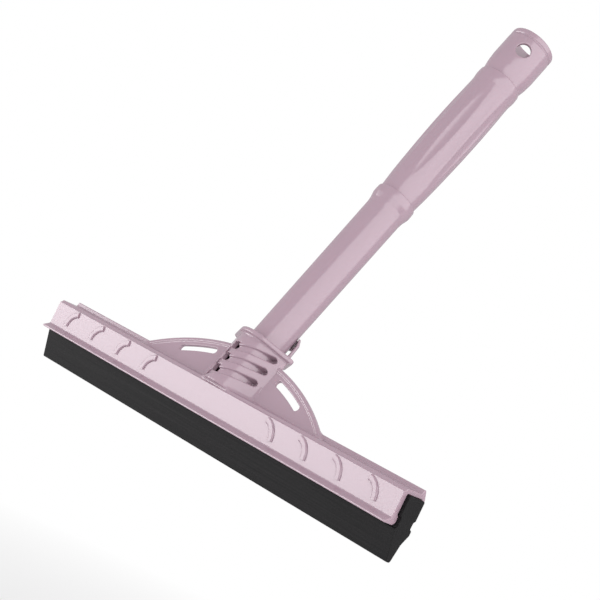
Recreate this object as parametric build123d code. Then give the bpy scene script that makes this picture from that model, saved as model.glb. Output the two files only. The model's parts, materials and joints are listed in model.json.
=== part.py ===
from build123d import *
import math
import os

# Window squeegee. The head lies along X and faces -Y, its blade points down (-Z),
# and the handle leans back in the YZ plane. All sizes are in millimetres.
# Each piece is drawn with the foot of the channel's front wall at the origin. At the end
# the pieces are moved together, so that the origin is the middle of the hanging hole.

# --- head channel -------------------------------------------------------------
head_length = 300.0        # length of the channel along X
wall_height = 14.0         # front wall, from its foot to the start of the cove
front_wall = 2.8           # thickness of the front wall
groove_width = 11.8        # room for the blade between the two walls
back_wall = 1.7            # thickness of the back wall
web_top = 15.6             # height of the flat top of the channel
web_thickness = 2.3        # thickness of that top
cove_depth = 2.0           # how far the cove steps back above the front wall
rail_height = 2.4          # rail standing on the back of the web
rail_width = 1.3           # flat on top of the rail
rail_back = 2.2            # slope of the rail's back, measured along Y
rail_slope_height = 4.7    # height of that slope
lip_reach = 4.0            # lip, forward of the front wall
lip_drop = 2.8             # lip, below the front wall's foot
lip_edge = 0.9             # height of the lip's blunt front edge
hook_reach = 1.1           # hooks at the mouth, into the groove
hook_height = 1.8          # height of the flat of each hook
back_hook_base = -0.2      # bottom of the back wall

# --- ribs on the front wall -----------------------------------------------------
rib_count = 4              # ribs on each side of the middle
rib_first = 56.7           # middle of the head to the foot of the first rib
rib_pitch = 26.1
rib_radius = 9.0           # bend of a rib's centre line
rib_sweep = 80.0           # degrees of bend
rib_width = 3.5
rib_rise = 0.9             # how far a rib stands out of the wall
rib_foot = 3.2             # height of a rib's lower end
rib_edge = 0.35            # rounding of a rib's edge

# --- blade ------------------------------------------------------------------------
blade_proud = 2.0          # the blade stands this far out of each end of the channel
blade_drop = 19.4          # tip of the blade below the foot of the front wall
tip_front = 7.6            # the tip's front face, behind the front wall's face
tip_thickness = 2.6
blade_clearance = 0.2      # blade to channel, on every side
bead_depth = 14.6          # how far back the bead under the back wall reaches
bead_top = -2.1
bead_bottom = -4.4
knee_drop = 9.8            # where the rear face changes its slope
knee_depth = 11.9

# --- handle ------------------------------------------------------------------------
handle_tilt = 21.2         # degrees that the handle leans back
handle_offset = 5.7        # handle axis behind the front wall's face, at Z = 0
tip_start = 19.6           # every height on the handle is measured along its axis
thread_end = 42.0
tube_low = 10.6            # radius of the tube where it leaves the socket
tube_high = 11.15          # radius of the tube under its bell mouth
bell_start = 147.0
bell_radius = 12.5
bell_top = 159.0
grip_neck = 11.5           # radius of the grip where it comes out of the bell mouth
grip_low = 12.3            # radius of the grip at the foot of its flutes
grip_shoulder = 12.9       # where the slope up from the neck turns into the belly
grip_shoulder_at = 187.0
grip_belly = 13.45
grip_belly_at = 214.0
grip_waist = 13.0
grip_top = 252.0
grip_bell = 13.5
end_neck = 12.55
end_radius = 14.0
end_shoulder = 262.0
handle_top = 283.5
rim_height = 4.0
rim_groove = 0.5
spigot_length = 16.0       # each piece plugs into the mouth of the one below
grip_spigot = 9.8
end_spigot = 11.6
tube_bore = 8.0
grip_bore_top = 10.0       # the grip's bore widens to this under the end piece
bore_top = 11.5            # bore of the open end
bore_floor = 46.0
bore_depth = 30.0          # depth of the straight bore of the open end
hang_radius = 4.3          # hanging hole, through both walls
hang_below_top = 13.0
hang_turn = 39.0           # degrees that the hole is turned from the front
flute_count = 12
flute_radius = 12.0
flute_turn = 6.0           # degrees from the front to the middle of a flute
flute_low = 170.0
flute_high = 243.0

# --- thread -----------------------------------------------------------------------
thread_crest = 11.05
thread_root = 9.9
thread_pitch = 4.0
thread_flat = 1.0

# --- socket -----------------------------------------------------------------------
socket_bore = 11.35
barrel_radius = 14.1
barrel_top = 44.6
collar_radius = 16.2
collar_height = 2.6
collar_half = 24.0         # the collar's ends reach past the flanges
collar_end = 2.4           # rounding of those ends
barrel_half = 21.6         # the barrel is drawn out to a blunt edge on each side
barrel_edge = 1.6          # rounding of that edge
foot_half = 25.0           # a gusset on each side widens to this on the rail
foot_height = 19.6
foot_start = 24.6
foot_thickness = 3.0
socket_floor = 18.2        # bottom of the bore
chin_slope = 13.0          # degrees that the barrel's underside rises towards the front
rear_foot = 3.0            # height where the barrel's back ends behind the wall
slot_low = 24.8            # height of the first slanted slot at its deep end
slot_pitch = 8.0
slot_count = 3
slot_width = 3.5
slot_slope = 20.0          # degrees that the slots rise to the right
slot_end = 18.4            # the slots' deep ends, right of the middle
slot_floor = 12.9          # the slots reach down to a cylinder of this radius
window_turn = -17.0        # degrees from the front to the windows
window_drop = 4.6          # how much lower the windows are than the deep ends
window_width = 5.6
window_height = 4.2
saddle_start = 121.0       # degrees from the front to each edge of the saddle
saddle_post = 19.0         # degrees that each of its two posts spans
saddle_bridge = 56.0       # underside of the bridge that joins the posts
saddle_inner = 12.5
saddle_low_outer = 14.5
saddle_high_outer = 13.8
saddle_shoulder = 59.0
saddle_top = 62.0
saddle_lip = 11.1          # its conical top closes in to this radius

# --- brace ------------------------------------------------------------------------
brace_radius = 135.0       # outer arc of the half moon
brace_top = 41.2           # its highest point, along the handle axis
brace_thickness = 2.0
rim_width = 2.0            # raised rim along the arc
rim_rise = 0.7
slot_inset = 6.5           # outer arc to the middle of the curved slots
moon_slot_width = 3.7
moon_slot_from = 28.0      # centres of the slot's round ends, from the middle
moon_slot_to = 49.6


def handle_frame():
    """Plane whose normal is the handle axis; its -Y side is the front of the handle."""
    lean = math.radians(handle_tilt)
    return Plane(origin=(0, handle_offset, 0), x_dir=(1, 0, 0),
                 z_dir=(0, math.sin(lean), math.cos(lean)))


def on_handle(shape):
    """Move a shape drawn about the Z axis onto the handle axis."""
    return handle_frame().location * shape


def turned(points):
    """Solid of revolution about Z from (radius, height) points of a closed outline."""
    outline = make_face(Plane.XZ * Polyline(*points, close=True))
    return revolve(outline, Axis.Z)


def round_corners(face, corners):
    """Round the corners of a flat face: corners is a list of (point, radius)."""
    for (x, y), radius in corners:
        near = face.vertices().sort_by_distance(Vector(x, y, 0))[0]
        face = fillet(near, radius)
    return face


def sector(radius, start, sweep, low, high):
    """Solid slice of a disc; angles are from the front, positive towards +X."""
    steps = 8
    points = [(0, 0)]
    for i in range(steps + 1):
        angle = math.radians(start + sweep * i / steps)
        points.append((radius * math.sin(angle), -radius * math.cos(angle)))
    return Pos(0, 0, low) * extrude(make_face(Polyline(*points, close=True)), high - low)


# --- blade channel ----------------------------------------------------------------
groove_back = front_wall + groove_width
back_face = groove_back + back_wall
groove_top = web_top - web_thickness
rail_front = back_face - rail_back - rail_width
rail_top = web_top + rail_height


def channel_profile():
    """Section of the channel in (Y, Z), walls, web, rail, lip and the two hooks."""
    cove_foot = (0, wall_height)
    ridge = (cove_depth, web_top)
    hook_top = hook_height + back_hook_base
    lip_foot = -lip_drop
    points = [
        (0, 0.3),
        cove_foot,
        ridge,
        (rail_front - 0.6, web_top),
        (rail_front, rail_top),
        (rail_front + rail_width, rail_top),
        (back_face, rail_top - rail_slope_height),
        (back_face - 0.5, back_hook_base),
        (groove_back - hook_reach, back_hook_base),
        (groove_back - hook_reach, hook_top),
        (groove_back, hook_top + hook_reach),
        (groove_back, groove_top),
        (front_wall, groove_top),
        (front_wall, hook_top + hook_reach),
        (front_wall + hook_reach, hook_top),
        (front_wall + hook_reach, hook_top - hook_height - hook_reach),
        (front_wall - 0.4, lip_foot),
        (-lip_reach, lip_foot),
        (-lip_reach, lip_foot + lip_edge),
    ]
    face = make_face(Polyline(*points, close=True))
    return round_corners(face, [
        ((0, 0.3), 1.2),
        (cove_foot, 0.5),
        (ridge, 0.5),
        ((rail_front - 0.6, web_top), 0.9),
        ((rail_front, rail_top), 0.45),
        ((rail_front + rail_width, rail_top), 0.6),
        ((back_face, rail_top - rail_slope_height), 2.0),
        ((back_face - 0.5, back_hook_base), 0.8),
        ((groove_back, groove_top), 0.8),
        ((front_wall, groove_top), 0.8),
        ((-lip_reach, lip_foot), 0.4),
        ((-lip_reach, lip_foot + lip_edge), 0.4),
        ((front_wall - 0.4, lip_foot), 0.8),
    ])


def along_x(face, length):
    """Extrude a (Y, Z) section along X, centred on the middle of the head."""
    return extrude(Plane.YZ * face, length / 2, both=True)


def rib(foot_x, side):
    """One curved rib: upright at its foot, bending towards the middle at its top."""
    centre = (foot_x - side * rib_radius, rib_foot)
    start = 0 if side > 0 else 180
    bend = CenterArc(centre, rib_radius, start, side * rib_sweep)
    bar = extrude(SlotArc(bend, rib_width), rib_rise + front_wall / 2)
    bar = Pos(0, 0, -front_wall / 2) * bar
    bar = fillet(bar.edges().group_by(Axis.Z)[-1], rib_edge)
    return Plane.XZ.location * bar


def blade_channel():
    """The channel with its ribs, open where the socket's bore reaches into it."""
    body = along_x(channel_profile(), head_length)
    ribs = []
    for side in (-1, 1):
        for k in range(rib_count):
            ribs.append(rib(side * (rib_first + k * rib_pitch), side))
    body = body.fuse(*ribs)
    bore = Pos(0, 0, socket_floor) * extrude(Circle(socket_bore), barrel_top)
    return body - on_handle(bore)


def head_envelope():
    """Everything that the channel and its groove take up, for trimming its neighbours."""
    low = -blade_drop - 10
    core = Pos((front_wall + groove_back) / 2, (low + groove_top + 0.5) / 2)
    core = core * Rectangle(groove_width + 1.0, groove_top + 0.5 - low)
    return along_x(channel_profile() + core, head_length)


# --- socket -----------------------------------------------------------------------
def slanted_slot(height):
    """Cutter for one slanted slot, shallow at the front and deepest at its right end."""
    left = -0.55 * barrel_radius
    length = (slot_end - left) / math.cos(math.radians(slot_slope))
    slab = Rot(90, 0, 0) * extrude(SlotOverall(length + slot_width, slot_width), barrel_radius)
    slab = Pos(-length / 2, -0.4, 0) * slab
    slab = Pos(slot_end - slot_width / 2, 0, height) * Rot(0, -slot_slope, 0) * slab
    core = Pos(0, 0, height) * Cylinder(slot_floor, 6 * slot_pitch)
    return slab - core


def window(height):
    """Cutter for one square window through the barrel's wall."""
    hole = Pos(0, -barrel_radius, 0) * Box(window_width, barrel_radius, window_height)
    return Pos(0, 0, height) * Rot(0, 0, window_turn) * hole


def saddle():
    """Two posts behind the tube with a bridge between them; the top closes in like a cone."""
    wall = saddle_low_outer - saddle_inner
    outline = [
        (saddle_inner, barrel_top),
        (saddle_low_outer, barrel_top),
        (saddle_high_outer, saddle_shoulder),
        (saddle_lip + 0.4, saddle_top),
        (saddle_lip, saddle_top - 0.4),
        (saddle_inner, saddle_shoulder - wall / 2),
    ]
    keep = sector(2 * saddle_low_outer, saddle_start, 360 - 2 * saddle_start,
                  barrel_top, saddle_top)
    behind = saddle_start + saddle_post
    opening = sector(2 * saddle_low_outer, behind, 360 - 2 * behind,
                     barrel_top + collar_height, saddle_bridge)
    return (turned(outline) & keep) - opening


def drawn_out(radius, half, edge):
    """Plan of the barrel or collar: round, with straight flanks out to an edge each side."""
    middle = half - edge
    across = (radius - edge) / middle
    along = math.sqrt(1 - across * across)
    near = (radius * across, radius * along)
    far = (middle + edge * across, edge * along)
    return make_face([
        ThreePointArc((-near[0], near[1]), (0, radius), near),
        Line(near, far),
        ThreePointArc(far, (half, 0), (far[0], -far[1])),
        Line((far[0], -far[1]), (near[0], -near[1])),
        ThreePointArc((near[0], -near[1]), (0, -radius), (-near[0], -near[1])),
        Line((-near[0], -near[1]), (-far[0], -far[1])),
        ThreePointArc((-far[0], -far[1]), (-half, 0), (-far[0], far[1])),
        Line((-far[0], far[1]), (-near[0], near[1])),
    ])


def foot_gusset():
    """Gusset between the barrel's edge and the rail, with a concave edge on each side."""
    low = rail_top - 8.0
    inner = barrel_half - 0.4
    foot = ThreePointArc((inner, foot_start), (inner + 1.0, foot_height + 1.4),
                         (foot_half, foot_height))
    rest = Polyline((foot_half, foot_height), (foot_half, low), (0, low), (0, foot_start),
                    (inner, foot_start))
    side = Plane.XZ * make_face([foot, rest])
    side = extrude(side, foot_thickness / 2, both=True)
    return side + mirror(side, Plane.YZ)


def socket_blank():
    """The socket's barrel, collar and gussets, before anything is cut."""
    low = -12.0
    plan = drawn_out(barrel_radius, barrel_half, barrel_edge)
    barrel = Pos(0, 0, low) * extrude(plan, barrel_top - low)
    plan = drawn_out(collar_radius, collar_half, collar_end)
    collar = Pos(0, 0, barrel_top) * extrude(plan, collar_height)
    collar = chamfer(collar.edges().group_by(Axis.Z)[-1], 0.5)
    return barrel + foot_gusset() + collar


def handle_socket():
    """Barrel with its collar, slots, windows and saddle, seated on the channel."""
    barrel = socket_blank() + saddle()
    cutters = []
    for k in range(slot_count):
        deep_end = slot_low + k * slot_pitch
        for turn in (0, 180):
            cutters.append(Rot(0, 0, turn) * slanted_slot(deep_end))
            cutters.append(Rot(0, 0, turn) * window(deep_end - window_drop))
    barrel = barrel.cut(*cutters)
    mouth = Pos(0, 0, socket_floor) * extrude(Circle(socket_bore), barrel_top)
    mouth = mouth - Pos(0, 0, saddle_shoulder - 2) * Box(60, 60, 60, align=(
        Align.CENTER, Align.CENTER, Align.MIN))
    body = on_handle(barrel - mouth)
    rise = 60 * math.tan(math.radians(chin_slope))
    chin = Polyline((cove_depth, -60), (cove_depth, web_top - 0.1), (cove_depth - 60,
                    web_top - 0.1 + rise), (cove_depth - 60, -60), close=True)
    front_cut = along_x(make_face(chin), 200)
    rear_cut = Pos(0, 0, rear_foot - 50) * Box(200, 200, 100)
    return body - front_cut - rear_cut - head_envelope()


# --- brace ------------------------------------------------------------------------
def half_moon_brace():
    """Thin half-moon plate that ties the socket to the rail on both sides."""
    centre = brace_top - brace_radius
    base = web_top / math.cos(math.radians(handle_tilt)) - 2.0
    keep = Pos(0, (base + brace_top) / 2) * Rectangle(head_length, brace_top - base)
    moon = Pos(0, centre) * Circle(brace_radius) & keep
    rim = moon - (Pos(0, centre) * Circle(brace_radius - rim_width))
    slot_radius = brace_radius - slot_inset
    for side in (-1, 1):
        near = math.degrees(math.asin(moon_slot_from / slot_radius))
        far = math.degrees(math.asin(moon_slot_to / slot_radius))
        line = CenterArc((0, centre), slot_radius, 90 - side * near, -side * (far - near))
        moon = moon - SlotArc(line, moon_slot_width)
    plate = extrude(moon, brace_thickness / 2, both=True)
    raised = extrude(rim, brace_thickness / 2 + rim_rise, both=True)
    upright = Plane(origin=(0, 0, 0), x_dir=(1, 0, 0), z_dir=(0, -1, 0))
    body = upright.location * (plate + raised) - socket_blank()
    return on_handle(body) - head_envelope()


# --- handle -----------------------------------------------------------------------
def handle_tube():
    """Lower tube: threaded tip at the bottom, bell mouth at the top, tapered bore."""
    seat = bell_top - spigot_length
    outline = [(0, tip_start), (thread_root - 1.2, tip_start), (thread_root, tip_start + 1.2)]
    turns = int((thread_end - tip_start - 2) / thread_pitch)
    for k in range(turns):
        low = tip_start + 2.2 + k * thread_pitch
        slope = (thread_pitch - thread_flat) / 3
        outline += [
            (thread_root, low),
            (thread_crest, low + slope),
            (thread_crest, low + slope + thread_flat),
            (thread_root, low + 2 * slope + thread_flat),
        ]
    outline += [
        (thread_root, thread_end),
        (tube_low, thread_end + 1.0),
        (tube_high, bell_start),
        (tube_high + 0.35, bell_start + 3.0),
        (bell_radius - 0.25, bell_top - 5.5),
        (bell_radius, bell_top - 3.8),
        (bell_radius - 0.1, bell_top - 1.4),
        (bell_radius - 0.5, bell_top - 0.3),
        (bell_radius - 0.7, bell_top),
        (grip_spigot, bell_top),
        (grip_spigot, seat),
        (tube_bore, seat),
        (tube_bore, bore_floor),
        (0, bore_floor),
    ]
    return on_handle(turned(outline))


def handle_grip():
    """Fluted grip: spigot below, slightly bellied outside, bell mouth on top."""
    low = bell_top - spigot_length
    seat = grip_top - spigot_length
    waist = grip_top - 11.0
    neck = Polyline(
        (tube_bore, low),
        (grip_spigot, low),
        (grip_spigot, bell_top),
        (grip_neck, bell_top),
        (grip_neck + 0.1, bell_top + 2.5),
    )
    swell = ThreePointArc((grip_neck + 0.1, bell_top + 2.5), (grip_low, flute_low + 1),
                          (grip_shoulder, grip_shoulder_at))
    belly = ThreePointArc((grip_shoulder, grip_shoulder_at), (grip_belly, grip_belly_at),
                          (grip_waist, waist))
    mouth = Polyline(
        (grip_waist, waist),
        (grip_bell - 0.1, grip_top - 5.0),
        (grip_bell, grip_top - 3.6),
        (grip_bell - 0.1, grip_top - 1.4),
        (grip_bell - 0.4, grip_top - 0.3),
        (grip_bell - 0.7, grip_top),
        (end_spigot, grip_top),
        (end_spigot, seat),
        (grip_bore_top, seat),
        (tube_bore, low),
    )
    outline = make_face(Plane.XZ * (neck + swell + belly + mouth))
    grip = revolve(outline, Axis.Z)
    return on_handle(grip.cut(*flutes()))


def flutes():
    """Straight round cutters laid along the grip; its belly makes them lens shaped."""
    lean = math.degrees(math.atan2(grip_waist - grip_low, flute_high - flute_low))
    length = 1.4 * (flute_high - flute_low)
    reach = (grip_waist + grip_low) / 2 + flute_radius
    bar = Rot(0, lean, 0) * Cylinder(flute_radius, length)
    bar = Pos(reach, 0, (flute_high + flute_low) / 2) * bar
    first = flute_turn - 90
    return [Rot(0, 0, first + k * 360 / flute_count) * bar for k in range(flute_count)]


def hanging_end():
    """Open end piece with a hanging hole through both walls and a rim at the top."""
    low = grip_top - spigot_length
    rim_low = handle_top - rim_height
    outline = [
        (grip_bore_top, low),
        (end_spigot, low),
        (end_spigot, grip_top),
        (end_neck, grip_top),
        (end_neck + 0.1, grip_top + 1.0),
        (end_radius - 0.5, end_shoulder - 3.5),
        (end_radius - 0.12, end_shoulder),
        (end_radius, end_shoulder + 4.0),
        (end_radius, rim_low - 0.9),
        (end_radius - rim_groove, rim_low - 0.3),
        (end_radius - rim_groove, rim_low + 0.3),
        (end_radius - 0.05, rim_low + 0.9),
        (end_radius - 0.05, handle_top - 1.0),
        (end_radius - 0.35, handle_top - 0.3),
        (end_radius - 1.0, handle_top),
        (bore_top + 0.5, handle_top),
        (bore_top, handle_top - 0.5),
        (bore_top, handle_top - bore_depth),
    ]
    piece = turned(outline)
    hole = Rot(0, 0, hang_turn) * Rot(90, 0, 0) * Cylinder(hang_radius, 4 * end_radius)
    return on_handle(piece - Pos(0, 0, handle_top - hang_below_top) * hole)


# --- blade ------------------------------------------------------------------------
def foam_blade():
    """Foam wedge: a block in the groove, a neck between the hooks, then the wedge."""
    gap = blade_clearance
    front = front_wall + gap
    back = groove_back - gap
    neck_front = front_wall + hook_reach + gap
    neck_back = groove_back - hook_reach - gap
    neck_top = back_hook_base + hook_height + gap
    foot = -lip_drop - gap
    points = [
        (front, groove_top - gap),
        (back, groove_top - gap),
        (back, neck_top + hook_reach),
        (neck_back, neck_top),
        (neck_back, back_hook_base - 1.2),
        (bead_depth, bead_top),
        (bead_depth, bead_bottom),
        (knee_depth, -knee_drop),
        (tip_front + tip_thickness, -blade_drop),
        (tip_front, -blade_drop),
        (front, foot - 0.6),
        (neck_front, foot),
        (neck_front, neck_top),
        (front, neck_top + hook_reach),
    ]
    face = round_corners(make_face(Polyline(*points, close=True)), [
        ((front, groove_top - gap), 1.0),
        ((back, groove_top - gap), 1.0),
        ((tip_front, -blade_drop), 0.8),
        ((tip_front + tip_thickness, -blade_drop), 1.2),
        ((bead_depth, bead_top), 0.6),
        ((bead_depth, bead_bottom), 1.2),
        ((knee_depth, -knee_drop), 6.0),
    ])
    return along_x(face, head_length + 2 * blade_proud)


os.makedirs("parts", exist_ok=True)
parts = {
    "blade_channel": blade_channel(),
    "handle_socket": handle_socket(),
    "half_moon_brace": half_moon_brace(),
    "foam_blade": foam_blade(),
    "handle_tube": handle_tube(),
    "handle_grip": handle_grip(),
    "hanging_end": hanging_end(),
}
hole_middle = handle_frame().from_local_coords(Vector(0, 0, handle_top - hang_below_top))
for name, shape in parts.items():
    export_step(Pos(-hole_middle) * shape, f"parts/{name}.step")
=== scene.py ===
import bpy
import json
import math
import numpy as np
from mathutils import Matrix, Vector


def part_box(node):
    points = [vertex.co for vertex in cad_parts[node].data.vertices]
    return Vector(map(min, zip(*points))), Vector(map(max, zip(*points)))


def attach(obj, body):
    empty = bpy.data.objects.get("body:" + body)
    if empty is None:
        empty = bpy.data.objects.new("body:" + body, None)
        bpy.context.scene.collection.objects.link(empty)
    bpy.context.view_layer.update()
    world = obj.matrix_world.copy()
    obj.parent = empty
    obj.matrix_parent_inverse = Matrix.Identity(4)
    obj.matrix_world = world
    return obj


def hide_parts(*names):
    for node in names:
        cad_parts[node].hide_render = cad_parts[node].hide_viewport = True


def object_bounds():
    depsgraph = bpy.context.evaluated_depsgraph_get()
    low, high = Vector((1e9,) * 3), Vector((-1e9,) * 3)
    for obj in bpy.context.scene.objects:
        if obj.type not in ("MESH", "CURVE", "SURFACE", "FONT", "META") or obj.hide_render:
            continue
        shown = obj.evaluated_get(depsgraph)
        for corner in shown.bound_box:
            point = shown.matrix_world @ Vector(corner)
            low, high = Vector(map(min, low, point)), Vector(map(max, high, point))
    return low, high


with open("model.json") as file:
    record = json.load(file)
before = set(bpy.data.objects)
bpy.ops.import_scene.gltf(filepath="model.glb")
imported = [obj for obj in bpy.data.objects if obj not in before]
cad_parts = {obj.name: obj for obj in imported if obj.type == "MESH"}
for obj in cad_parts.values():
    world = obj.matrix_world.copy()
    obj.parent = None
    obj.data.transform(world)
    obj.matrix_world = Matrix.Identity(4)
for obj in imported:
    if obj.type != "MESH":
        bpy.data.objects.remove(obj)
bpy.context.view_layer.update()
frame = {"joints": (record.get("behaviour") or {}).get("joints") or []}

# --- Blade channel ----------------------------------------------------------------------
# The long channel that grips the blade. It is moulded in glossy dusty-pink plastic
# together with the brace and the socket, so all three share one finish.
# Sizes are in millimetres, measured from the foot of the channel's front wall.
MM = 0.001
LIP_REACH, LIP_DROP = 4.0, 2.8
channel_low, channel_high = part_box("blade_channel")
head_at = np.array([0.0, channel_low[1] + LIP_REACH * MM, channel_low[2] + LIP_DROP * MM])
HEAD_LENGTH = (channel_high[0] - channel_low[0]) / MM
SMOOTH_ANGLE = math.radians(35)


def arc_between(before, corner, after, radius, steps=6):
    """Points of the rounding of one corner of an outline."""
    p, a, b = (np.array(v, float) for v in (corner, before, after))
    u, v = (a - p) / np.linalg.norm(a - p), (b - p) / np.linalg.norm(b - p)
    half = math.acos(max(-1.0, min(1.0, float(u @ v)))) / 2
    if radius <= 0 or half > math.radians(89):
        return [tuple(p)]
    centre = p + (u + v) / np.linalg.norm(u + v) * radius / math.sin(half)
    start, end = p + u * radius / math.tan(half), p + v * radius / math.tan(half)
    first = math.atan2(*(start - centre)[::-1])
    turn = (math.atan2(*(end - centre)[::-1]) - first + math.pi) % (2 * math.pi) - math.pi
    return [tuple(centre + radius * np.array([math.cos(first + turn * k / steps),
                                              math.sin(first + turn * k / steps)]))
            for k in range(steps + 1)]


def rounded(corners):
    """Closed outline from (x, y, radius) corners."""
    points = []
    for k, (x, y, radius) in enumerate(corners):
        before, after = corners[k - 1][:2], corners[(k + 1) % len(corners)][:2]
        points += arc_between(before, (x, y), after, radius)
    return points


def piece(name, vertices, faces, material, normals=None):
    """A mesh object at the origin, with its place in its mesh."""
    mesh = bpy.data.meshes.new(name)
    mesh.from_pydata([tuple(map(float, v)) for v in vertices], [],
                     [tuple(map(int, f)) for f in faces])
    mesh.materials.append(material)
    mesh.shade_smooth()
    if normals is None:
        mesh.set_sharp_from_angle(angle=SMOOTH_ANGLE)
    else:
        mesh.normals_split_custom_set_from_vertices([tuple(map(float, n)) for n in normals])
    made = bpy.data.objects.new(name, mesh)
    bpy.context.collection.objects.link(made)
    return made


def along_head(name, outline, length, material):
    """A (Y, Z) outline drawn along the head and closed at both ends."""
    count = len(outline)
    x = length / 2
    vertices = [(side * x, y, z) for side in (-1, 1) for y, z in outline]
    vertices = [head_at + np.array(v) * MM for v in vertices]
    faces = [(k, (k + 1) % count, (k + 1) % count + count, k + count) for k in range(count)]
    faces += [tuple(range(count))[::-1], tuple(range(count, 2 * count))]
    area = sum(outline[k - 1][0] * p[1] - p[0] * outline[k - 1][1] for k, p in enumerate(outline))
    if area < 0:
        faces = [f[::-1] for f in faces]
    return piece(name, vertices, faces, material)


def soften(made, width, segments=3):
    """Rounds the sharp edges of a piece."""
    bevel = made.modifiers.new("rounded edges", "BEVEL")
    bevel.width = width * MM
    bevel.segments = segments
    bevel.limit_method = "ANGLE"
    bevel.angle_limit = math.radians(50)
    bevel.harden_normals = True


def plastic(name, colour, roughness):
    """Gloss plastic with a faint unevenness in its gloss."""
    made = bpy.data.materials.new(name)
    made.use_nodes = True
    nodes, links = made.node_tree.nodes, made.node_tree.links
    shader = nodes["Principled BSDF"]
    shader.inputs["Base Color"].default_value = (*colour, 1)
    shader.inputs["Roughness"].default_value = roughness
    shader.inputs["IOR"].default_value = 1.5
    shader.inputs["Specular IOR Level"].default_value = 0.85
    shader.inputs["Subsurface Weight"].default_value = 0.06
    shader.inputs["Subsurface Radius"].default_value = (0.004, 0.002, 0.002)
    shader.inputs["Subsurface Scale"].default_value = 0.5
    place = nodes.new("ShaderNodeTexCoord")
    waves = nodes.new("ShaderNodeTexNoise")
    waves.inputs["Scale"].default_value = 90
    waves.inputs["Detail"].default_value = 2
    bump = nodes.new("ShaderNodeBump")
    bump.inputs["Strength"].default_value = 0.03
    bump.inputs["Distance"].default_value = 0.001
    links.new(place.outputs["Object"], waves.inputs["Vector"])
    links.new(waves.outputs["Fac"], bump.inputs["Height"])
    links.new(bump.outputs["Normal"], shader.inputs["Normal"])
    return made


pink = plastic("dusty_pink_plastic", (0.38, 0.268, 0.322), 0.17)

WEB_TOP, WALL_HEIGHT, COVE = 15.6, 14.0, 2.0
channel_outline = rounded([
    (0.0, 0.3, 1.2), (0.0, WALL_HEIGHT, 0.35), (0.75, WALL_HEIGHT + 0.35, 0.6),
    (COVE - 0.2, WEB_TOP, 0.45), (12.2, WEB_TOP, 0.9), (12.8, 18.0, 0.45),
    (14.1, 18.0, 0.6), (16.3, 13.3, 2.0), (15.8, -0.2, 0.8), (13.5, -0.2, 0.4),
    (13.5, 1.6, 0.3), (14.6, 2.7, 0.3), (14.6, 13.3, 0.8), (2.8, 13.3, 0.8), (2.8, 2.7, 0.3),
    (3.9, 1.6, 0.3), (3.9, -1.3, 0.4), (2.4, -LIP_DROP, 0.8), (-LIP_REACH, -LIP_DROP, 0.4),
    (-LIP_REACH, -LIP_DROP + 0.9, 0.4)])
channel = along_head("blade_channel_skin", channel_outline, HEAD_LENGTH, pink)
soften(channel, 0.3)
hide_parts("blade_channel")
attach(channel, "head")

# --- Front ribs --------------------------------------------------------------------------
# Eight curved grip ribs stand out of the channel's front wall, four on each side of the
# middle and mirrored about it. They are moulded with the wall and have rounded edges.
RIBS = {"Count": 4, "First": 56.7, "Pitch": 26.1, "Bend": 9.0, "Sweep": 80.0,
        "Width": 3.5, "Rise": 0.9, "Edge": 0.85, "Sunk": 0.9}


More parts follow.
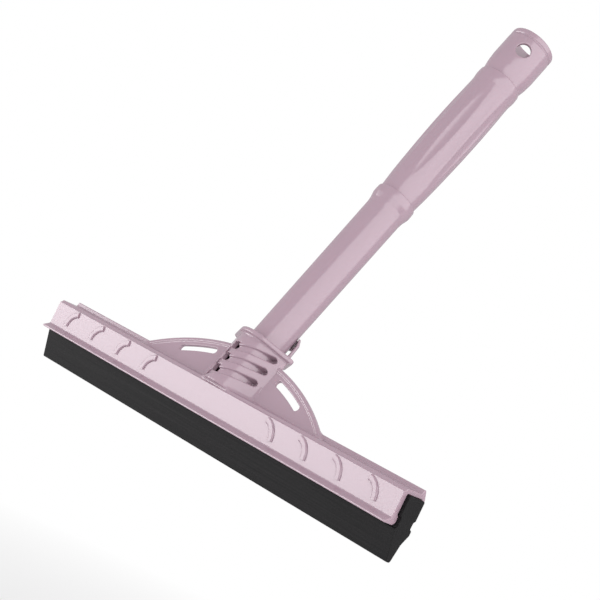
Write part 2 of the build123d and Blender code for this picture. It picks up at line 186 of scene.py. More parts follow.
def rib_tree():
    """Geometry nodes: rounded bars bent on an arc, repeated along X and mirrored."""
    tree = bpy.data.node_groups.new("front_ribs", "GeometryNodeTree")
    face = tree.interface
    face.new_socket("Geometry", in_out="INPUT", socket_type="NodeSocketGeometry")
    for label in RIBS:
        kind = "NodeSocketInt" if label == "Count" else "NodeSocketFloat"
        face.new_socket(label, in_out="INPUT", socket_type=kind)
    face.new_socket("Material", in_out="INPUT", socket_type="NodeSocketMaterial")
    face.new_socket("Geometry", in_out="OUTPUT", socket_type="NodeSocketGeometry")
    nodes, links = tree.nodes, tree.links
    given = nodes.new("NodeGroupInput").outputs
    result = nodes.new("NodeGroupOutput")

    def math_node(operation, a, b=None):
        made = nodes.new("ShaderNodeMath")
        made.operation = operation
        for slot, value in zip(made.inputs, (a, b)):
            if isinstance(value, (int, float)):
                slot.default_value = value
            elif value is not None:
                links.new(value, slot)
        return made.outputs[0]

    def join_xyz(x=None, y=None, z=None):
        made = nodes.new("ShaderNodeCombineXYZ")
        for slot, value in zip(made.inputs, (x, y, z)):
            if value is not None:
                links.new(value, slot)
        return made.outputs[0]

    arc = nodes.new("GeometryNodeCurveArc")
    arc.inputs["Resolution"].default_value = 64
    links.new(given["Bend"], arc.inputs["Radius"])
    arc.inputs["Start Angle"].default_value = 0
    links.new(math_node("RADIANS", given["Sweep"]), arc.inputs["Sweep Angle"])
    along = nodes.new("GeometryNodeSplineParameter").outputs["Factor"]
    reach = math_node("MULTIPLY", math_node("RADIANS", given["Sweep"]), given["Bend"])
    total = math_node("ADD", reach, given["Width"])
    from_middle = math_node("ABSOLUTE", math_node("SUBTRACT", along, 0.5))
    from_end = math_node("MULTIPLY", math_node("SUBTRACT", 0.5, from_middle), total)
    half = math_node("DIVIDE", given["Width"], 2.0)
    into_cap = math_node("SUBTRACT", 1.0, math_node(
        "MINIMUM", math_node("DIVIDE", from_end, half), 1.0))
    cap = math_node("SQRT", math_node("MAXIMUM", math_node(
        "SUBTRACT", 1.0, math_node("MULTIPLY", into_cap, into_cap)), 0.0004))
    sized = nodes.new("GeometryNodeSetCurveRadius")
    links.new(arc.outputs["Curve"], sized.inputs["Curve"])
    links.new(cap, sized.inputs["Radius"])
    bar = nodes.new("GeometryNodeCurvePrimitiveQuadrilateral")
    links.new(given["Width"], bar.inputs["Width"])
    links.new(math_node("ADD", given["Rise"], given["Sunk"]), bar.inputs["Height"])
    edge = nodes.new("GeometryNodeFilletCurve")
    edge.mode = "POLY"
    edge.inputs["Count"].default_value = 5
    links.new(bar.outputs["Curve"], edge.inputs["Curve"])
    links.new(given["Edge"], edge.inputs["Radius"])
    swept = nodes.new("GeometryNodeCurveToMesh")
    links.new(sized.outputs["Curve"], swept.inputs["Curve"])
    links.new(edge.outputs["Curve"], swept.inputs["Profile Curve"])
    swept.inputs["Fill Caps"].default_value = True
    centred = nodes.new("GeometryNodeTransform")
    links.new(swept.outputs["Mesh"], centred.inputs["Geometry"])
    links.new(join_xyz(math_node("MULTIPLY", given["Bend"], -1.0)), centred.inputs["Translation"])
    row = nodes.new("GeometryNodeMeshLine")
    links.new(given["Count"], row.inputs["Count"])
    links.new(join_xyz(given["First"]), row.inputs["Start Location"])
    links.new(join_xyz(given["Pitch"]), row.inputs["Offset"])
    copies = nodes.new("GeometryNodeInstanceOnPoints")
    links.new(row.outputs["Mesh"], copies.inputs["Points"])
    links.new(centred.outputs["Geometry"], copies.inputs["Instance"])
    real = nodes.new("GeometryNodeRealizeInstances")
    links.new(copies.outputs["Instances"], real.inputs["Geometry"])
    mirror = nodes.new("GeometryNodeTransform")
    mirror.inputs["Scale"].default_value = (-1, 1, 1)
    links.new(real.outputs["Geometry"], mirror.inputs["Geometry"])
    turned = nodes.new("GeometryNodeFlipFaces")
    links.new(mirror.outputs["Geometry"], turned.inputs["Mesh"])
    both = nodes.new("GeometryNodeJoinGeometry")
    links.new(real.outputs["Geometry"], both.inputs["Geometry"])
    links.new(turned.outputs["Mesh"], both.inputs["Geometry"])
    painted = nodes.new("GeometryNodeSetMaterial")
    links.new(both.outputs["Geometry"], painted.inputs["Geometry"])
    links.new(given["Material"], painted.inputs["Material"])
    links.new(painted.outputs["Geometry"], result.inputs["Geometry"])
    return tree


def grown(name, tree, values, place):
    """Runs a geometry nodes tree once and keeps its result as a plain mesh piece."""
    seed = bpy.data.objects.new(name + "_seed", bpy.data.meshes.new(name + "_seed"))
    bpy.context.collection.objects.link(seed)
    run = seed.modifiers.new("grow", "NODES")
    run.node_group = tree
    for item in tree.interface.items_tree:
        if item.in_out == "INPUT" and item.name in values:
            run[item.identifier] = values[item.name]
    ready = seed.evaluated_get(bpy.context.evaluated_depsgraph_get())
    mesh = bpy.data.meshes.new_from_object(ready)
    bpy.data.objects.remove(seed)
    mesh.name = name
    mesh.transform(place)
    mesh.shade_smooth()
    made = bpy.data.objects.new(name, mesh)
    bpy.context.collection.objects.link(made)
    return made


RIB_FOOT = 3.2
middle_depth = (RIBS["Sunk"] - RIBS["Rise"]) / 2
rib_place = Matrix(((MM, 0, 0, head_at[0]),
                    (0, 0, -MM, head_at[1] + middle_depth * MM),
                    (0, MM, 0, head_at[2] + RIB_FOOT * MM), (0, 0, 0, 1)))
ribs = grown("front_ribs", rib_tree(), {**RIBS, "Material": pink}, rib_place)
ribs.data.set_sharp_from_angle(angle=math.radians(50))
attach(ribs, "head")

# --- Handle socket -----------------------------------------------------------------------
# The barrel that the handle screws into, drawn out to an edge on each side. It has slanted
# slots and windows that save plastic, a collar, and a bridge on two posts behind the handle.
# It is one moulding with the channel, so its foot runs into the channel with a soft fillet.
axis = np.array(next(j for j in frame["joints"] if j["name"] == "handle_screw")["axis"])
back = np.array([0.0, axis[2], -axis[1]])
HOLE_AT = 270.5
AXIS_OFFSET = 5.7


def handle_point(p):
    """World place of (x, y, s): y towards the handle's back, s up along its axis."""
    p = np.asarray(p, float)
    return (p[..., 0:1] * np.array([1.0, 0, 0]) + p[..., 1:2] * back
            + (p[..., 2:3] - HOLE_AT) * axis) * MM


def head_yz(y, s):
    """(Y, Z) of the head from the handle's y and s."""
    return AXIS_OFFSET + y * axis[2] + s * axis[1], -y * axis[1] + s * axis[2]


def blend(a, b, k):
    """Union of two distances with a fillet of about k."""
    h = np.maximum(k - np.abs(a - b), 0.0) / k
    return np.minimum(a, b) - h * h * k / 4


def trim(a, b, k):
    """Intersection of two distances with a rounded edge of about k."""
    return -blend(-a, -b, k)


def to_outline(u, v, outline):
    """Signed distance from points to a closed outline, negative inside."""
    best = np.full(u.shape, 1e9)
    inside = np.zeros(u.shape, bool)
    for (x0, y0), (x1, y1) in zip(outline, outline[1:] + outline[:1]):
        dx, dy = x1 - x0, y1 - y0
        t = np.clip(((u - x0) * dx + (v - y0) * dy) / (dx * dx + dy * dy), 0, 1)
        best = np.minimum(best, (u - x0 - t * dx) ** 2 + (v - y0 - t * dy) ** 2)
        crosses = (y0 > v) != (y1 > v)
        if y0 != y1:
            inside ^= crosses & (u < (v - y0) * dx / dy + x0)
    return np.where(inside, -1.0, 1.0) * np.sqrt(best)


def moulded(name, distance, low, high, step, material):
    """Skin of a solid given by its distance function, as an even mesh of four-sided faces."""
    axes = [np.arange(a - step, b + 2 * step, step) for a, b in zip(low, high)]
    grid = np.stack(np.meshgrid(*axes, indexing="ij"), -1)
    value = distance(grid[..., 0], grid[..., 1], grid[..., 2])
    inside = value < 0
    cells = np.array(value.shape) - 1
    total = np.zeros((*cells, 3))
    count = np.zeros(cells)
    for along in range(3):
        ends = [slice(None)] * 3, [slice(None)] * 3
        ends[0][along], ends[1][along] = slice(None, -1), slice(1, None)
        a, b = value[tuple(ends[0])], value[tuple(ends[1])]
        cut = (a < 0) != (b < 0)
        share = np.where(cut, a / np.where(cut, a - b, 1.0), 0.0)
        where = grid[tuple(ends[0])].copy()
        where[..., along] += share * step
        where *= cut[..., None]
        others = [k for k in range(3) if k != along]
        for i in (0, 1):
            for j in (0, 1):
                part = [slice(None)] * 3
                part[others[0]] = slice(i, cells[others[0]] + i)
                part[others[1]] = slice(j, cells[others[1]] + j)
                total += where[tuple(part)]
                count += cut[tuple(part)]
    used = count > 0
    number = np.full(cells, -1)
    number[used] = np.arange(used.sum())
    points = total[used] / count[used][:, None]
    faces = []
    for along in range(3):
        others = [k for k in range(3) if k != along]
        if along == 1:
            others = others[::-1]
        first, second = [slice(1, -1)] * 3, [slice(1, -1)] * 3
        first[along], second[along] = slice(0, -1), slice(1, None)
        a, b = inside[tuple(first)], inside[tuple(second)]
        for wanted, flip in ((a & ~b, False), (~a & b, True)):
            at = np.argwhere(wanted)
            at += [0 if k == along else 1 for k in range(3)]
            corners = []
            for i, j in ((-1, -1), (0, -1), (0, 0), (-1, 0)):
                cell = at.copy()
                cell[:, others[0]] += i
                cell[:, others[1]] += j
                corners.append(number[tuple(cell.T)])
            quads = np.stack(corners, 1)
            faces.append(quads[:, ::-1] if flip else quads)
    faces = np.concatenate(faces)
    edges = np.concatenate([faces[:, [k, (k + 1) % 4]] for k in range(4)])

    def slope(p):
        e = step * 0.05
        near = [distance(*(p + e * np.eye(3)[k]).T) - distance(*(p - e * np.eye(3)[k]).T)
                for k in range(3)]
        g = np.stack(near, 1) / (2 * e)
        return g / np.maximum(np.linalg.norm(g, axis=1), 1e-9)[:, None]

    for even in range(4):
        if even < 3:
            around = np.zeros_like(points)
            times = np.zeros(len(points))
            np.add.at(around, edges[:, 0], points[edges[:, 1]])
            np.add.at(times, edges[:, 0], 1)
            points = points * 0.5 + around / times[:, None] * 0.5
        for _ in range(2):
            off = distance(*points.T)
            points = points - slope(points) * np.clip(off, -step, step)[:, None]
    normals = slope(points)
    turn = np.stack([np.array([1.0, 0, 0]), back, axis])
    return piece(name, handle_point(points), faces, material, normals @ turn)


# the outer shape of the channel, blade groove filled
channel_block = rounded([
    (0.0, -30.0, 0), (0.0, WALL_HEIGHT, 0.35), (0.75, WALL_HEIGHT + 0.35, 0.6),
    (COVE - 0.2, WEB_TOP, 0.45), (12.2, WEB_TOP, 0.9), (12.8, 18.0, 0.45),
    (14.1, 18.0, 0.6), (16.3, 13.3, 2.0), (15.8, -0.2, 0), (15.8, -30.0, 0)])
ROOT = 1.1       # depth that a foot goes into the channel's wall
FOOT_REACH = 3.5


def rooted(shape, y, s, fillet):
    """Runs a shape's foot into the channel's outside with a fillet."""
    head_y, head_z = head_yz(y, s)
    channel_side = to_outline(head_y, head_z, channel_block)
    grown_foot = blend(shape, channel_side + 0.05, fillet)
    grown_foot = np.maximum(grown_foot, shape - FOOT_REACH)
    return trim(grown_foot, -(channel_side + ROOT), 0.3)


BARREL, BARREL_TOP, BORE, BORE_FLOOR = 14.1, 44.6, 11.35, 18.2
BARREL_HALF, BARREL_EDGE = 21.6, 1.6
FOOT_HALF, FOOT_HEIGHT, FOOT_START, FOOT_THICK = 25.0, 19.6, 24.6, 1.0
COLLAR, COLLAR_HEIGHT, COLLAR_HALF, COLLAR_END = 16.2, 2.6, 24.0, 2.4
SLOT_LOW, SLOT_PITCH, SLOT_COUNT, SLOT_WIDTH = 24.8, 8.0, 3, 3.5
SLOT_SLOPE, SLOT_RIGHT, SLOT_LEFT, SLOT_CORE, SLOT_DEEP = 20.0, 18.4, -7.75, 12.9, -0.4
WINDOW_TURN, WINDOW_DROP, WINDOW_WIDTH, WINDOW_HEIGHT = -17.0, 4.6, 5.6, 4.2
POST_FROM, POST_TO, BRIDGE = 121.0, 140.0, 56.0
SHOULDER_AT, BRIDGE_TOP, POST_INNER = 59.0, 62.0, 12.5
BORE_END, SHALLOWEST, WINDOW_FLOOR = 54.0, 5.0, 7.0
CHIN_SLOPE = 13.0


def drawn_out(x, y, radius, half, edge):
    """Distance to a round plan with straight flanks out to an edge on each side."""
    side, deep = np.abs(x), np.abs(y)
    slope = (radius - edge) / (half - edge)
    rise = math.sqrt(1 - slope * slope)
    across = side * rise - deep * slope
    return np.where(across < 0, np.hypot(x, y) - radius, np.where(
        across > rise * (half - edge), np.hypot(deep, side - half + edge) - edge,
        deep * rise + side * slope - radius))


def socket_shape(x, y, s):
    """Distance to the whole socket, before its foot is joined to the channel."""
    radius = np.hypot(x, y)
    side = np.abs(x)
    shape = trim(drawn_out(x, y, BARREL, BARREL_HALF, BARREL_EDGE), s - BARREL_TOP, 0.5)
    width = BARREL_HALF - 0.4 + (FOOT_HALF - BARREL_HALF + 0.4) * np.clip(
        (FOOT_START - s) / (FOOT_START - FOOT_HEIGHT), 0, 1.4) ** 2.0
    gusset = trim(trim(side - width, np.abs(y) - FOOT_THICK, 0.9), s - FOOT_START, 0.5)
    shape = blend(shape, gusset, 1.2)
    plan = drawn_out(x, y, COLLAR, COLLAR_HALF, COLLAR_END)
    middle = BARREL_TOP + COLLAR_HEIGHT / 2
    collar = trim(plan, np.abs(s - middle) - COLLAR_HEIGHT / 2, 0.9)
    shape = blend(shape, collar, 1.3)
    sleeve_out = radius - np.interp(
        s, [BARREL_TOP, SHOULDER_AT, BRIDGE_TOP + 0.1], [14.55, 13.85, 12.3])
    sleeve_in = np.interp(
        s, [BARREL_TOP, 57.8, BRIDGE_TOP], [POST_INNER, POST_INNER, 11.0]) - radius
    from_back = np.degrees(np.arctan2(side, y))
    sleeve = trim(trim(sleeve_out, sleeve_in, 0.4), s - BRIDGE_TOP, 0.4)
    arc = np.radians(from_back - 180 + POST_FROM) * np.maximum(radius, SHALLOWEST)
    sleeve = trim(sleeve, arc, 0.7)
    arc = np.radians(from_back - 180 + POST_TO) * np.maximum(radius, SHALLOWEST)
    opening = np.maximum(np.maximum(arc, s - BRIDGE), BARREL_TOP + COLLAR_HEIGHT - 0.4 - s)
    sleeve = trim(sleeve, -opening, 0.7)
    sleeve = np.maximum(sleeve, BARREL_TOP - s)
    shape = blend(shape, sleeve, 1.0)
    lean = math.radians(SLOT_SLOPE)
    for turn in (1, -1):
        across_x, across_y = x * turn, y * turn
        angle = math.radians(WINDOW_TURN)
        tangent = across_x * math.cos(angle) + across_y * math.sin(angle)
        outward = across_x * math.sin(angle) - across_y * math.cos(angle)
        for k in range(SLOT_COUNT):
            high = SLOT_LOW + k * SLOT_PITCH
            right = SLOT_RIGHT - SLOT_WIDTH / 2
            length = (SLOT_RIGHT - SLOT_LEFT) / math.cos(lean)
            t = np.clip((right - across_x) * math.cos(lean) + (high - s) * math.sin(lean),
                        0, length)
            groove = np.hypot(across_x - right + t * math.cos(lean),
                              s - high + t * math.sin(lean)) - SLOT_WIDTH / 2
            groove = trim(trim(groove, SLOT_CORE - radius, 0.6), across_y - SLOT_DEEP, 0.6)
            shape = trim(shape, -groove, 0.7)
            hole = np.maximum(np.abs(tangent) - WINDOW_WIDTH / 2,
                              np.abs(s - high + WINDOW_DROP) - WINDOW_HEIGHT / 2)
            hole = np.maximum(hole, WINDOW_FLOOR - outward)
            shape = trim(shape, -hole, 0.5)
    bore = np.maximum(np.maximum(radius - BORE, BORE_FLOOR - s), s - BORE_END)
    return trim(shape, -bore, 0.5)


def socket(x, y, s):
    """The socket with its foot cut above the front wall and joined to the channel."""
    head_y, head_z = head_yz(y, s)
    tilt = math.radians(CHIN_SLOPE)
    chin = (WEB_TOP - 0.1 - head_z) * math.cos(tilt) + (COVE - head_y) * math.sin(tilt)
    foot = np.where(head_y < 8.0, chin, 3.0 - head_z)
    shape = trim(socket_shape(x, y, s), foot, 0.9)
    return rooted(shape, y, s, 2.0)


handle_socket = moulded("handle_socket_skin", socket, (-33, -18, 4), (33, 18, 62.6), 0.45, pink)
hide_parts("handle_socket")
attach(handle_socket, "head")

# --- Half-moon brace ---------------------------------------------------------------------
# A thin half-moon plate that ties the socket to the channel's rail on both sides. It has a
# raised rim along its arc and one curved slot on each side.
ARC, ARC_TOP, PLATE_HALF, RIM_HALF, RIM_WIDE = 135.0, 41.2, 1.0, 1.55, 2.0
SLOT_INSET, MOON_SLOT, MOON_FROM, MOON_TO = 6.5, 3.7, 28.0, 49.6


def brace(x, y, s):
    """Distance to the brace, from inside the barrel's edge out to the rail's end."""
    rise = s - ARC_TOP + ARC
    radius = np.hypot(x, rise)
    plate = trim(radius - ARC, np.abs(y) - PLATE_HALF, 0.5)
    rim = trim(trim(radius - ARC, ARC - RIM_WIDE - radius, 0.6), np.abs(y) - RIM_HALF, 0.6)
    shape = blend(plate, rim, 0.8)
    middle = ARC - SLOT_INSET
    angle = np.arctan2(np.abs(x), rise)
    nearest = np.clip(angle, math.asin(MOON_FROM / middle), math.asin(MOON_TO / middle))
    slot = np.hypot(np.abs(x) - middle * np.sin(nearest),
                    rise - middle * np.cos(nearest)) - MOON_SLOT / 2
    shape = trim(shape, -slot, 0.5)
    shape = trim(shape, BARREL_HALF - 3.0 - np.abs(x), 0.4)
    return rooted(shape, y, s, 1.6)


half_moon = moulded("half_moon_brace_skin", brace, (-84, -3, 12), (84, 3, 42), 0.32, pink)
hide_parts("half_moon_brace")
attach(half_moon, "head")

# --- Foam blade --------------------------------------------------------------------------
# The wiper: a wedge of black closed-cell foam cut from sheet, which leaves fine drag lines
# along it. Its block slides into the channel from the end and the two hooks hold its neck.
blade_low, blade_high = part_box("foam_blade")
BLADE_LENGTH = (blade_high[0] - blade_low[0]) / MM
blade_outline = rounded([
    (3.0, 13.1, 1.0), (14.4, 13.1, 1.0), (14.4, 2.9, 0.3), (13.3, 1.8, 0.3), (13.3, -1.4, 0.4),
    (14.6, -2.1, 0.6), (14.6, -4.4, 1.2), (11.9, -9.8, 6.0), (10.2, -19.4, 1.2),
    (7.6, -19.4, 0.8), (3.0, -3.6, 0.5), (4.1, -3.0, 0.3), (4.1, 1.8, 0.3), (3.0, 2.9, 0.3)])


def foam(name):
    """Matt black foam with fine cutting lines along X and a fine grain."""
    made = bpy.data.materials.new(name)
    made.use_nodes = True
    nodes, links = made.node_tree.nodes, made.node_tree.links
    shader = nodes["Principled BSDF"]
    shader.inputs["Roughness"].default_value = 0.6
    shader.inputs["Specular IOR Level"].default_value = 0.22
    place = nodes.new("ShaderNodeTexCoord")
    stretch = nodes.new("ShaderNodeMapping")
    stretch.inputs["Scale"].default_value = (14, 1500, 1500)
    lines = nodes.new("ShaderNodeTexNoise")
    lines.inputs["Scale"].default_value = 1
    lines.inputs["Detail"].default_value = 4
    grain = nodes.new("ShaderNodeTexNoise")
    grain.inputs["Scale"].default_value = 1400
    grain.inputs["Detail"].default_value = 3
    mixed = nodes.new("ShaderNodeMix")
    mixed.inputs["Factor"].default_value = 0.35
    ramp = nodes.new("ShaderNodeValToRGB")
    ramp.color_ramp.elements[0].position = 0.35
    ramp.color_ramp.elements[0].color = (0.002, 0.002, 0.0025, 1)
    ramp.color_ramp.elements[1].position = 0.75
    ramp.color_ramp.elements[1].color = (0.013, 0.012, 0.013, 1)
    bump = nodes.new("ShaderNodeBump")
    bump.inputs["Strength"].default_value = 0.5
    bump.inputs["Distance"].default_value = 0.0003
    links.new(place.outputs["Object"], stretch.inputs["Vector"])
    links.new(stretch.outputs["Vector"], lines.inputs["Vector"])
    links.new(place.outputs["Object"], grain.inputs["Vector"])
    links.new(lines.outputs["Fac"], mixed.inputs["A"])
    links.new(grain.outputs["Fac"], mixed.inputs["B"])
    links.new(mixed.outputs["Result"], ramp.inputs["Fac"])
    links.new(ramp.outputs["Color"], shader.inputs["Base Color"])
    links.new(mixed.outputs["Result"], bump.inputs["Height"])
    links.new(bump.outputs["Normal"], shader.inputs["Normal"])
    return made


black_foam = foam("black_foam")
blade = along_head("foam_blade_skin", blade_outline, BLADE_LENGTH, black_foam)
soften(blade, 0.3, 2)
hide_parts("foam_blade")
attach(blade, "blade")

# --- Handle tube -------------------------------------------------------------------------
# The lower tapered tube of the handle. Its threaded tip screws into the socket and its bell
# mouth takes the grip. Glossy plastic from the same batch as the head.
SEGMENTS = 160


def turned(name, outline, material, outer=None):
    """Solid of revolution about the handle's axis from an (r, s) outline; outer may reshape
    the radius of a point by its height and its angle from the front."""
    fine = []
    for (r0, s0), (r1, s1) in zip(outline, outline[1:] + outline[:1]):
        pieces = max(1, int(abs(s1 - s0) / 1.25)) if outer else 1
        fine += [(r0 + (r1 - r0) * k / pieces, s0 + (s1 - s0) * k / pieces)
                 for k in range(pieces)]
    angles = np.arange(SEGMENTS) * 2 * math.pi / SEGMENTS
    rings, vertices = [], []
    for r, s in fine:
        if r < 1e-6:
            rings.append([len(vertices)])
            vertices.append((0.0, 0.0, s))
            continue
        radii = outer(r, s, angles) if outer else np.full(SEGMENTS, r)
        rings.append(list(range(len(vertices), len(vertices) + SEGMENTS)))
        vertices += list(zip(radii * np.sin(angles), -radii * np.cos(angles),
                             np.full(SEGMENTS, s)))
    faces = []
    for a, b in zip(rings, rings[1:] + rings[:1]):
        if len(a) == 1 and len(b) == 1:
            continue
        for k in range(SEGMENTS):
            n = (k + 1) % SEGMENTS
            if len(a) == 1:
                faces.append((a[0], b[n], b[k]))
            elif len(b) == 1:
                faces.append((a[k], a[n], b[0]))
            else:
                faces.append((a[k], a[n], b[n], b[k]))
    return piece(name, handle_point(np.array(vertices)), faces, material)


TIP, THREAD_END, ROOT_R, CREST_R, PITCH = 19.6, 42.0, 9.9, 11.05, 4.0
TUBE_LOW, TUBE_HIGH, BELL_START, BELL, BELL_TOP = 10.6, 11.15, 147.0, 12.5, 159.0
TUBE_BORE, BORE_BOTTOM, SPIGOT, SPIGOT_LENGTH = 8.0, 46.0, 9.8, 16.0
thread = []
for k in range(5):
    low = TIP + 2.2 + k * PITCH
    thread += [(ROOT_R, low, 0.3), (CREST_R, low + 1, 0.3), (CREST_R, low + 2, 0.3),
               (ROOT_R, low + 3, 0.3)]
tube_outline = rounded([
    (0, TIP, 0), (ROOT_R - 1.2, TIP, 0.3), (ROOT_R, TIP + 1.2, 0.3), *thread,
    (ROOT_R, THREAD_END, 0.3), (TUBE_LOW, THREAD_END + 1, 0.4), (TUBE_HIGH, BELL_START, 12.0),
    (TUBE_HIGH + 0.35, BELL_START + 3.2, 4.0), (BELL - 0.05, BELL_TOP - 5.2, 2.0),
    (BELL, BELL_TOP - 3.0, 2.0), (BELL - 0.15, BELL_TOP, 0.7), (SPIGOT, BELL_TOP, 0.1),
    (SPIGOT, BELL_TOP - SPIGOT_LENGTH, 0.1), (TUBE_BORE, BELL_TOP - SPIGOT_LENGTH, 0.1),
    (TUBE_BORE, BORE_BOTTOM, 0.5), (0, BORE_BOTTOM, 0)])
tube = turned("handle_tube_skin", tube_outline, pink)
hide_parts("handle_tube")
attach(tube, "handle")

# --- Handle grip -------------------------------------------------------------------------
# The hand grip: a bellied sleeve with twelve long shallow flutes, plugged into the tube's
# bell mouth and ending in a bell mouth of its own. Moulded in the same plastic.
NECK, GRIP_TOP, GRIP_BELL, END_SPIGOT, GRIP_BORE_TOP = 11.5, 252.0, 13.5, 11.6, 10.0
GRIP_CURVE = [(161.5, 11.6), (165.0, 11.88), (168.0, 12.12), (171.0, 12.3), (177.5, 12.58),
              (182.0, 12.75), (187.0, 12.92), (193.0, 13.1), (200.0, 13.28), (207.0, 13.4),
              (214.0, 13.45), (221.0, 13.42), (228.0, 13.33), (235.0, 13.18), (241.0, 13.02)]
FLUTES, FLUTE_RADIUS, FLUTE_TURN = 12, 12.0, 6.0
FLUTE_LOW, FLUTE_LOW_R, FLUTE_HIGH, FLUTE_HIGH_R = 170.0, 12.3, 243.0, 13.0


def fluted(r, s, angles):
    """Radius of the grip at a height, sunk where a flute crosses it."""
    radii = np.full(len(angles), r)
    if r < NECK + 0.05 or not FLUTE_LOW - 8 < s < FLUTE_HIGH + 2:
        return radii
    share = (s - FLUTE_LOW) / (FLUTE_HIGH - FLUTE_LOW)
    bottom = FLUTE_LOW_R + (FLUTE_HIGH_R - FLUTE_LOW_R) * share
    centre = bottom + FLUTE_RADIUS
    spacing = 2 * math.pi / FLUTES
    off = (angles - math.radians(FLUTE_TURN) + spacing / 2) % spacing - spacing / 2
    reach = centre * np.cos(off) - np.sqrt(FLUTE_RADIUS ** 2 - (centre * np.sin(off)) ** 2)
    return blend(radii, reach, 0.12)


smooth_s = np.arange(161.5, 241.01, 1.25)
smooth_r = np.interp(smooth_s, *zip(*GRIP_CURVE))
for _ in range(6):
    smooth_r[1:-1] = (smooth_r[:-2] + 2 * smooth_r[1:-1] + smooth_r[2:]) / 4
grip_body = [(r, s, 0) for r, s in zip(smooth_r, smooth_s)]
grip_outline = rounded([
    (TUBE_BORE, BELL_TOP - SPIGOT_LENGTH, 0.2), (SPIGOT, BELL_TOP - SPIGOT_LENGTH, 0.2),
    (SPIGOT, BELL_TOP, 0.05), (NECK, BELL_TOP, 0.05), (NECK, BELL_TOP + 1.0, 0), *grip_body,
    (13.05, GRIP_TOP - 8.0, 3.0), (GRIP_BELL - 0.05, GRIP_TOP - 4.8, 1.6),
    (GRIP_BELL, GRIP_TOP - 3.2, 1.6), (GRIP_BELL - 0.15, GRIP_TOP, 0.7),
    (END_SPIGOT, GRIP_TOP, 0.1), (END_SPIGOT, GRIP_TOP - SPIGOT_LENGTH, 0.1),
    (GRIP_BORE_TOP, GRIP_TOP - SPIGOT_LENGTH, 0.1)])
grip = turned("handle_grip_skin", grip_outline, pink, fluted)
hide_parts("handle_grip")
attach(grip, "handle")

# --- Hanging end -------------------------------------------------------------------------
# The open upper end of the handle, with a hanging hole through both walls and a rim. It
# plugs into the grip's bell mouth, and an extension pole can be pushed into its bore.
END, END_NECK, SHOULDER, TOP, RIM, RIM_GROOVE = 14.0, 12.55, 262.0, 283.5, 4.0, 0.5
END_BORE, BORE_DEPTH, HANG_RADIUS, HANG_TURN = 11.5, 30.0, 4.3, 39.0
end_outline = rounded([
    (GRIP_BORE_TOP, GRIP_TOP - SPIGOT_LENGTH, 0.3), (END_SPIGOT, GRIP_TOP - SPIGOT_LENGTH, 0.3),
    (END_SPIGOT, GRIP_TOP, 0.05), (END_NECK, GRIP_TOP, 0.1), (END_NECK + 0.1, 253.4, 1.5),
    (END - 0.45, SHOULDER - 3.6, 3.0), (END, SHOULDER + 2.0, 12.0), (END, TOP - RIM - 0.8, 0.4),
    (END - RIM_GROOVE, TOP - RIM - 0.2, 0.25), (END - RIM_GROOVE, TOP - RIM + 0.3, 0.25),
    (END - 0.05, TOP - RIM + 0.9, 0.4), (END - 0.05, TOP, 0.9), (END_BORE, TOP, 0.6),
    (END_BORE, TOP - BORE_DEPTH, 4.0)])


def end_piece(x, y, s):
    """Distance to the end piece, with the hanging hole's edges rounded."""
    turn = math.radians(HANG_TURN)
    wall = to_outline(np.hypot(x, y), s, end_outline)
    across = x * math.cos(turn) + y * math.sin(turn)
    hole = np.hypot(across, s - HOLE_AT) - HANG_RADIUS
    return trim(wall, -hole, 0.8)


hanging = moulded("hanging_end_skin", end_piece, (-14.2, -14.2, 235.6), (14.2, 14.2, 283.8),
                  0.36, pink)
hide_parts("hanging_end")
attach(hanging, "handle")

# --- Stage -------------------------------------------------------------------------------
# A pale floor below the object, fading into a white surround, two large soft boxes and a
# camera level with the head, rolled so that the head slopes down to the right.
FLOOR_DROP, FLOOR_SIZE = 0.30, 9.0
shown_low, shown_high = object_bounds()
floor_z = shown_low[2] - FLOOR_DROP
floor_mesh = bpy.data.meshes.new("floor")
floor_mesh.from_pydata([(x * FLOOR_SIZE, y * FLOOR_SIZE, floor_z) for x, y in
                        ((-1, -1), (1, -1), (1, 1), (-1, 1))], [], [(0, 1, 2, 3)])
floor = bpy.data.objects.new("floor", floor_mesh)
bpy.context.collection.objects.link(floor)
WHITE = 1.0


def floor_finish():
    """Pale matt floor near the object that fades to the surround's white."""
    made = bpy.data.materials.new("pale_floor")
    made.use_nodes = True
    nodes, links = made.node_tree.nodes, made.node_tree.links
    matt = nodes["Principled BSDF"]
    matt.inputs["Base Color"].default_value = (0.86, 0.86, 0.86, 1)
    matt.inputs["Roughness"].default_value = 0.9
    glow = nodes.new("ShaderNodeEmission")
    glow.inputs["Strength"].default_value = WHITE
    place = nodes.new("ShaderNodeTexCoord")
    length = nodes.new("ShaderNodeVectorMath")
    length.operation = "LENGTH"
    fade = nodes.new("ShaderNodeMapRange")
    fade.inputs["From Min"].default_value = 0.5
    fade.inputs["From Max"].default_value = 1.5
    light = nodes.new("ShaderNodeLightPath")
    seen = nodes.new("ShaderNodeMath")
    seen.operation = "MULTIPLY"
    mix = nodes.new("ShaderNodeMixShader")
    links.new(place.outputs["Object"], length.inputs[0])
    links.new(length.outputs["Value"], fade.inputs["Value"])
    links.new(fade.outputs["Result"], seen.inputs[0])
    links.new(light.outputs["Is Camera Ray"], seen.inputs[1])
    links.new(seen.outputs[0], mix.inputs["Fac"])
    links.new(matt.outputs[0], mix.inputs[1])
    links.new(glow.outputs[0], mix.inputs[2])
    links.new(mix.outputs[0], nodes["Material Output"].inputs["Surface"])
    return made


floor_mesh.materials.append(floor_finish())

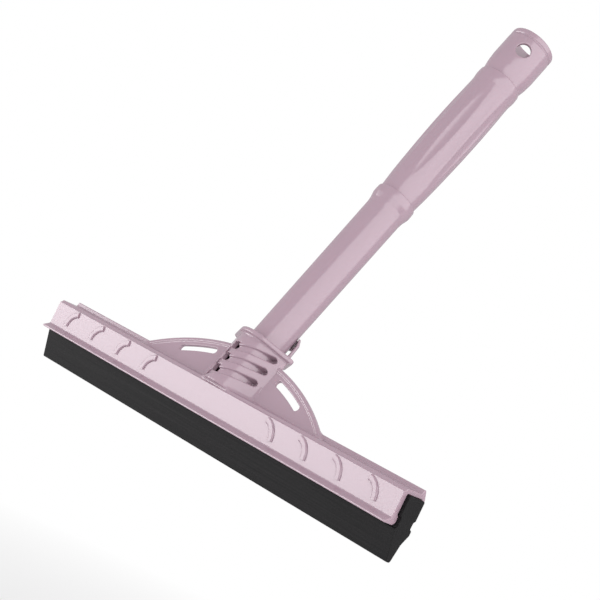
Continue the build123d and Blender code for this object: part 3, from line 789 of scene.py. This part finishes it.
world = bpy.data.worlds.new("surround")
bpy.context.scene.world = world
world.use_nodes = True
world_nodes, world_links = world.node_tree.nodes, world.node_tree.links
ambient = world_nodes["Background"]
ambient.inputs["Color"].default_value = (1, 0.985, 1, 1)
ambient.inputs["Strength"].default_value = 0.6
backdrop = world_nodes.new("ShaderNodeBackground")
backdrop.inputs["Color"].default_value = (1, 1, 1, 1)
backdrop.inputs["Strength"].default_value = WHITE
light_path = world_nodes.new("ShaderNodeLightPath")
choose = world_nodes.new("ShaderNodeMixShader")
world_links.new(light_path.outputs["Is Camera Ray"], choose.inputs["Fac"])
world_links.new(ambient.outputs[0], choose.inputs[1])
world_links.new(backdrop.outputs[0], choose.inputs[2])
world_links.new(choose.outputs[0], world_nodes["World Output"].inputs["Surface"])


def soft_box(name, azimuth, elevation, distance, width, height, power):
    """A soft box that faces the object; azimuth is from the front towards +X."""
    light = bpy.data.lights.new(name, "AREA")
    light.shape = "RECTANGLE"
    light.size, light.size_y = width, height
    light.energy = power
    made = bpy.data.objects.new(name, light)
    bpy.context.collection.objects.link(made)
    a, e = math.radians(azimuth), math.radians(elevation)
    way = Vector((math.sin(a) * math.cos(e), -math.cos(a) * math.cos(e), math.sin(e)))
    target = Vector(((shown_low[0] + shown_high[0]) / 2, (shown_low[1] + shown_high[1]) / 2,
                     (shown_low[2] + shown_high[2]) / 2))
    made.location = target + way * distance
    made.rotation_mode = "QUATERNION"
    made.rotation_quaternion = way.to_track_quat("Z", "Y")


soft_box("key", 81.0, 23.0, 1.3, 3.4, 1.35, 24.0)
soft_box("low_fill", -46.0, 0.0, 1.6, 1.3, 0.8, 12.0)
# plain display colours, so that the surround stays an even white
bpy.context.scene.view_settings.view_transform = "Standard"

CAMERA_FROM_HEAD = np.array([656.36, -599.33, 55.49])
VIEW = Vector((-0.72126, 0.69234, 0.02091)).normalized()
ROLL, FIELD = math.radians(25.98), math.radians(20.05)
camera_at = Vector(head_at + CAMERA_FROM_HEAD * MM)
level = VIEW.cross(Vector((0, 0, 1))).normalized()
above = level.cross(VIEW)
right = level * math.cos(ROLL) + above * math.sin(ROLL)
up = above * math.cos(ROLL) - level * math.sin(ROLL)
lens = bpy.data.cameras.new("camera")
lens.sensor_width = 36
lens.lens = 18 / math.tan(FIELD / 2)
camera = bpy.data.objects.new("camera", lens)
bpy.context.collection.objects.link(camera)
camera.matrix_world = Matrix(((right.x, up.x, -VIEW.x, camera_at.x),
                              (right.y, up.y, -VIEW.y, camera_at.y),
                              (right.z, up.z, -VIEW.z, camera_at.z), (0, 0, 0, 1)))
bpy.context.scene.camera = camera
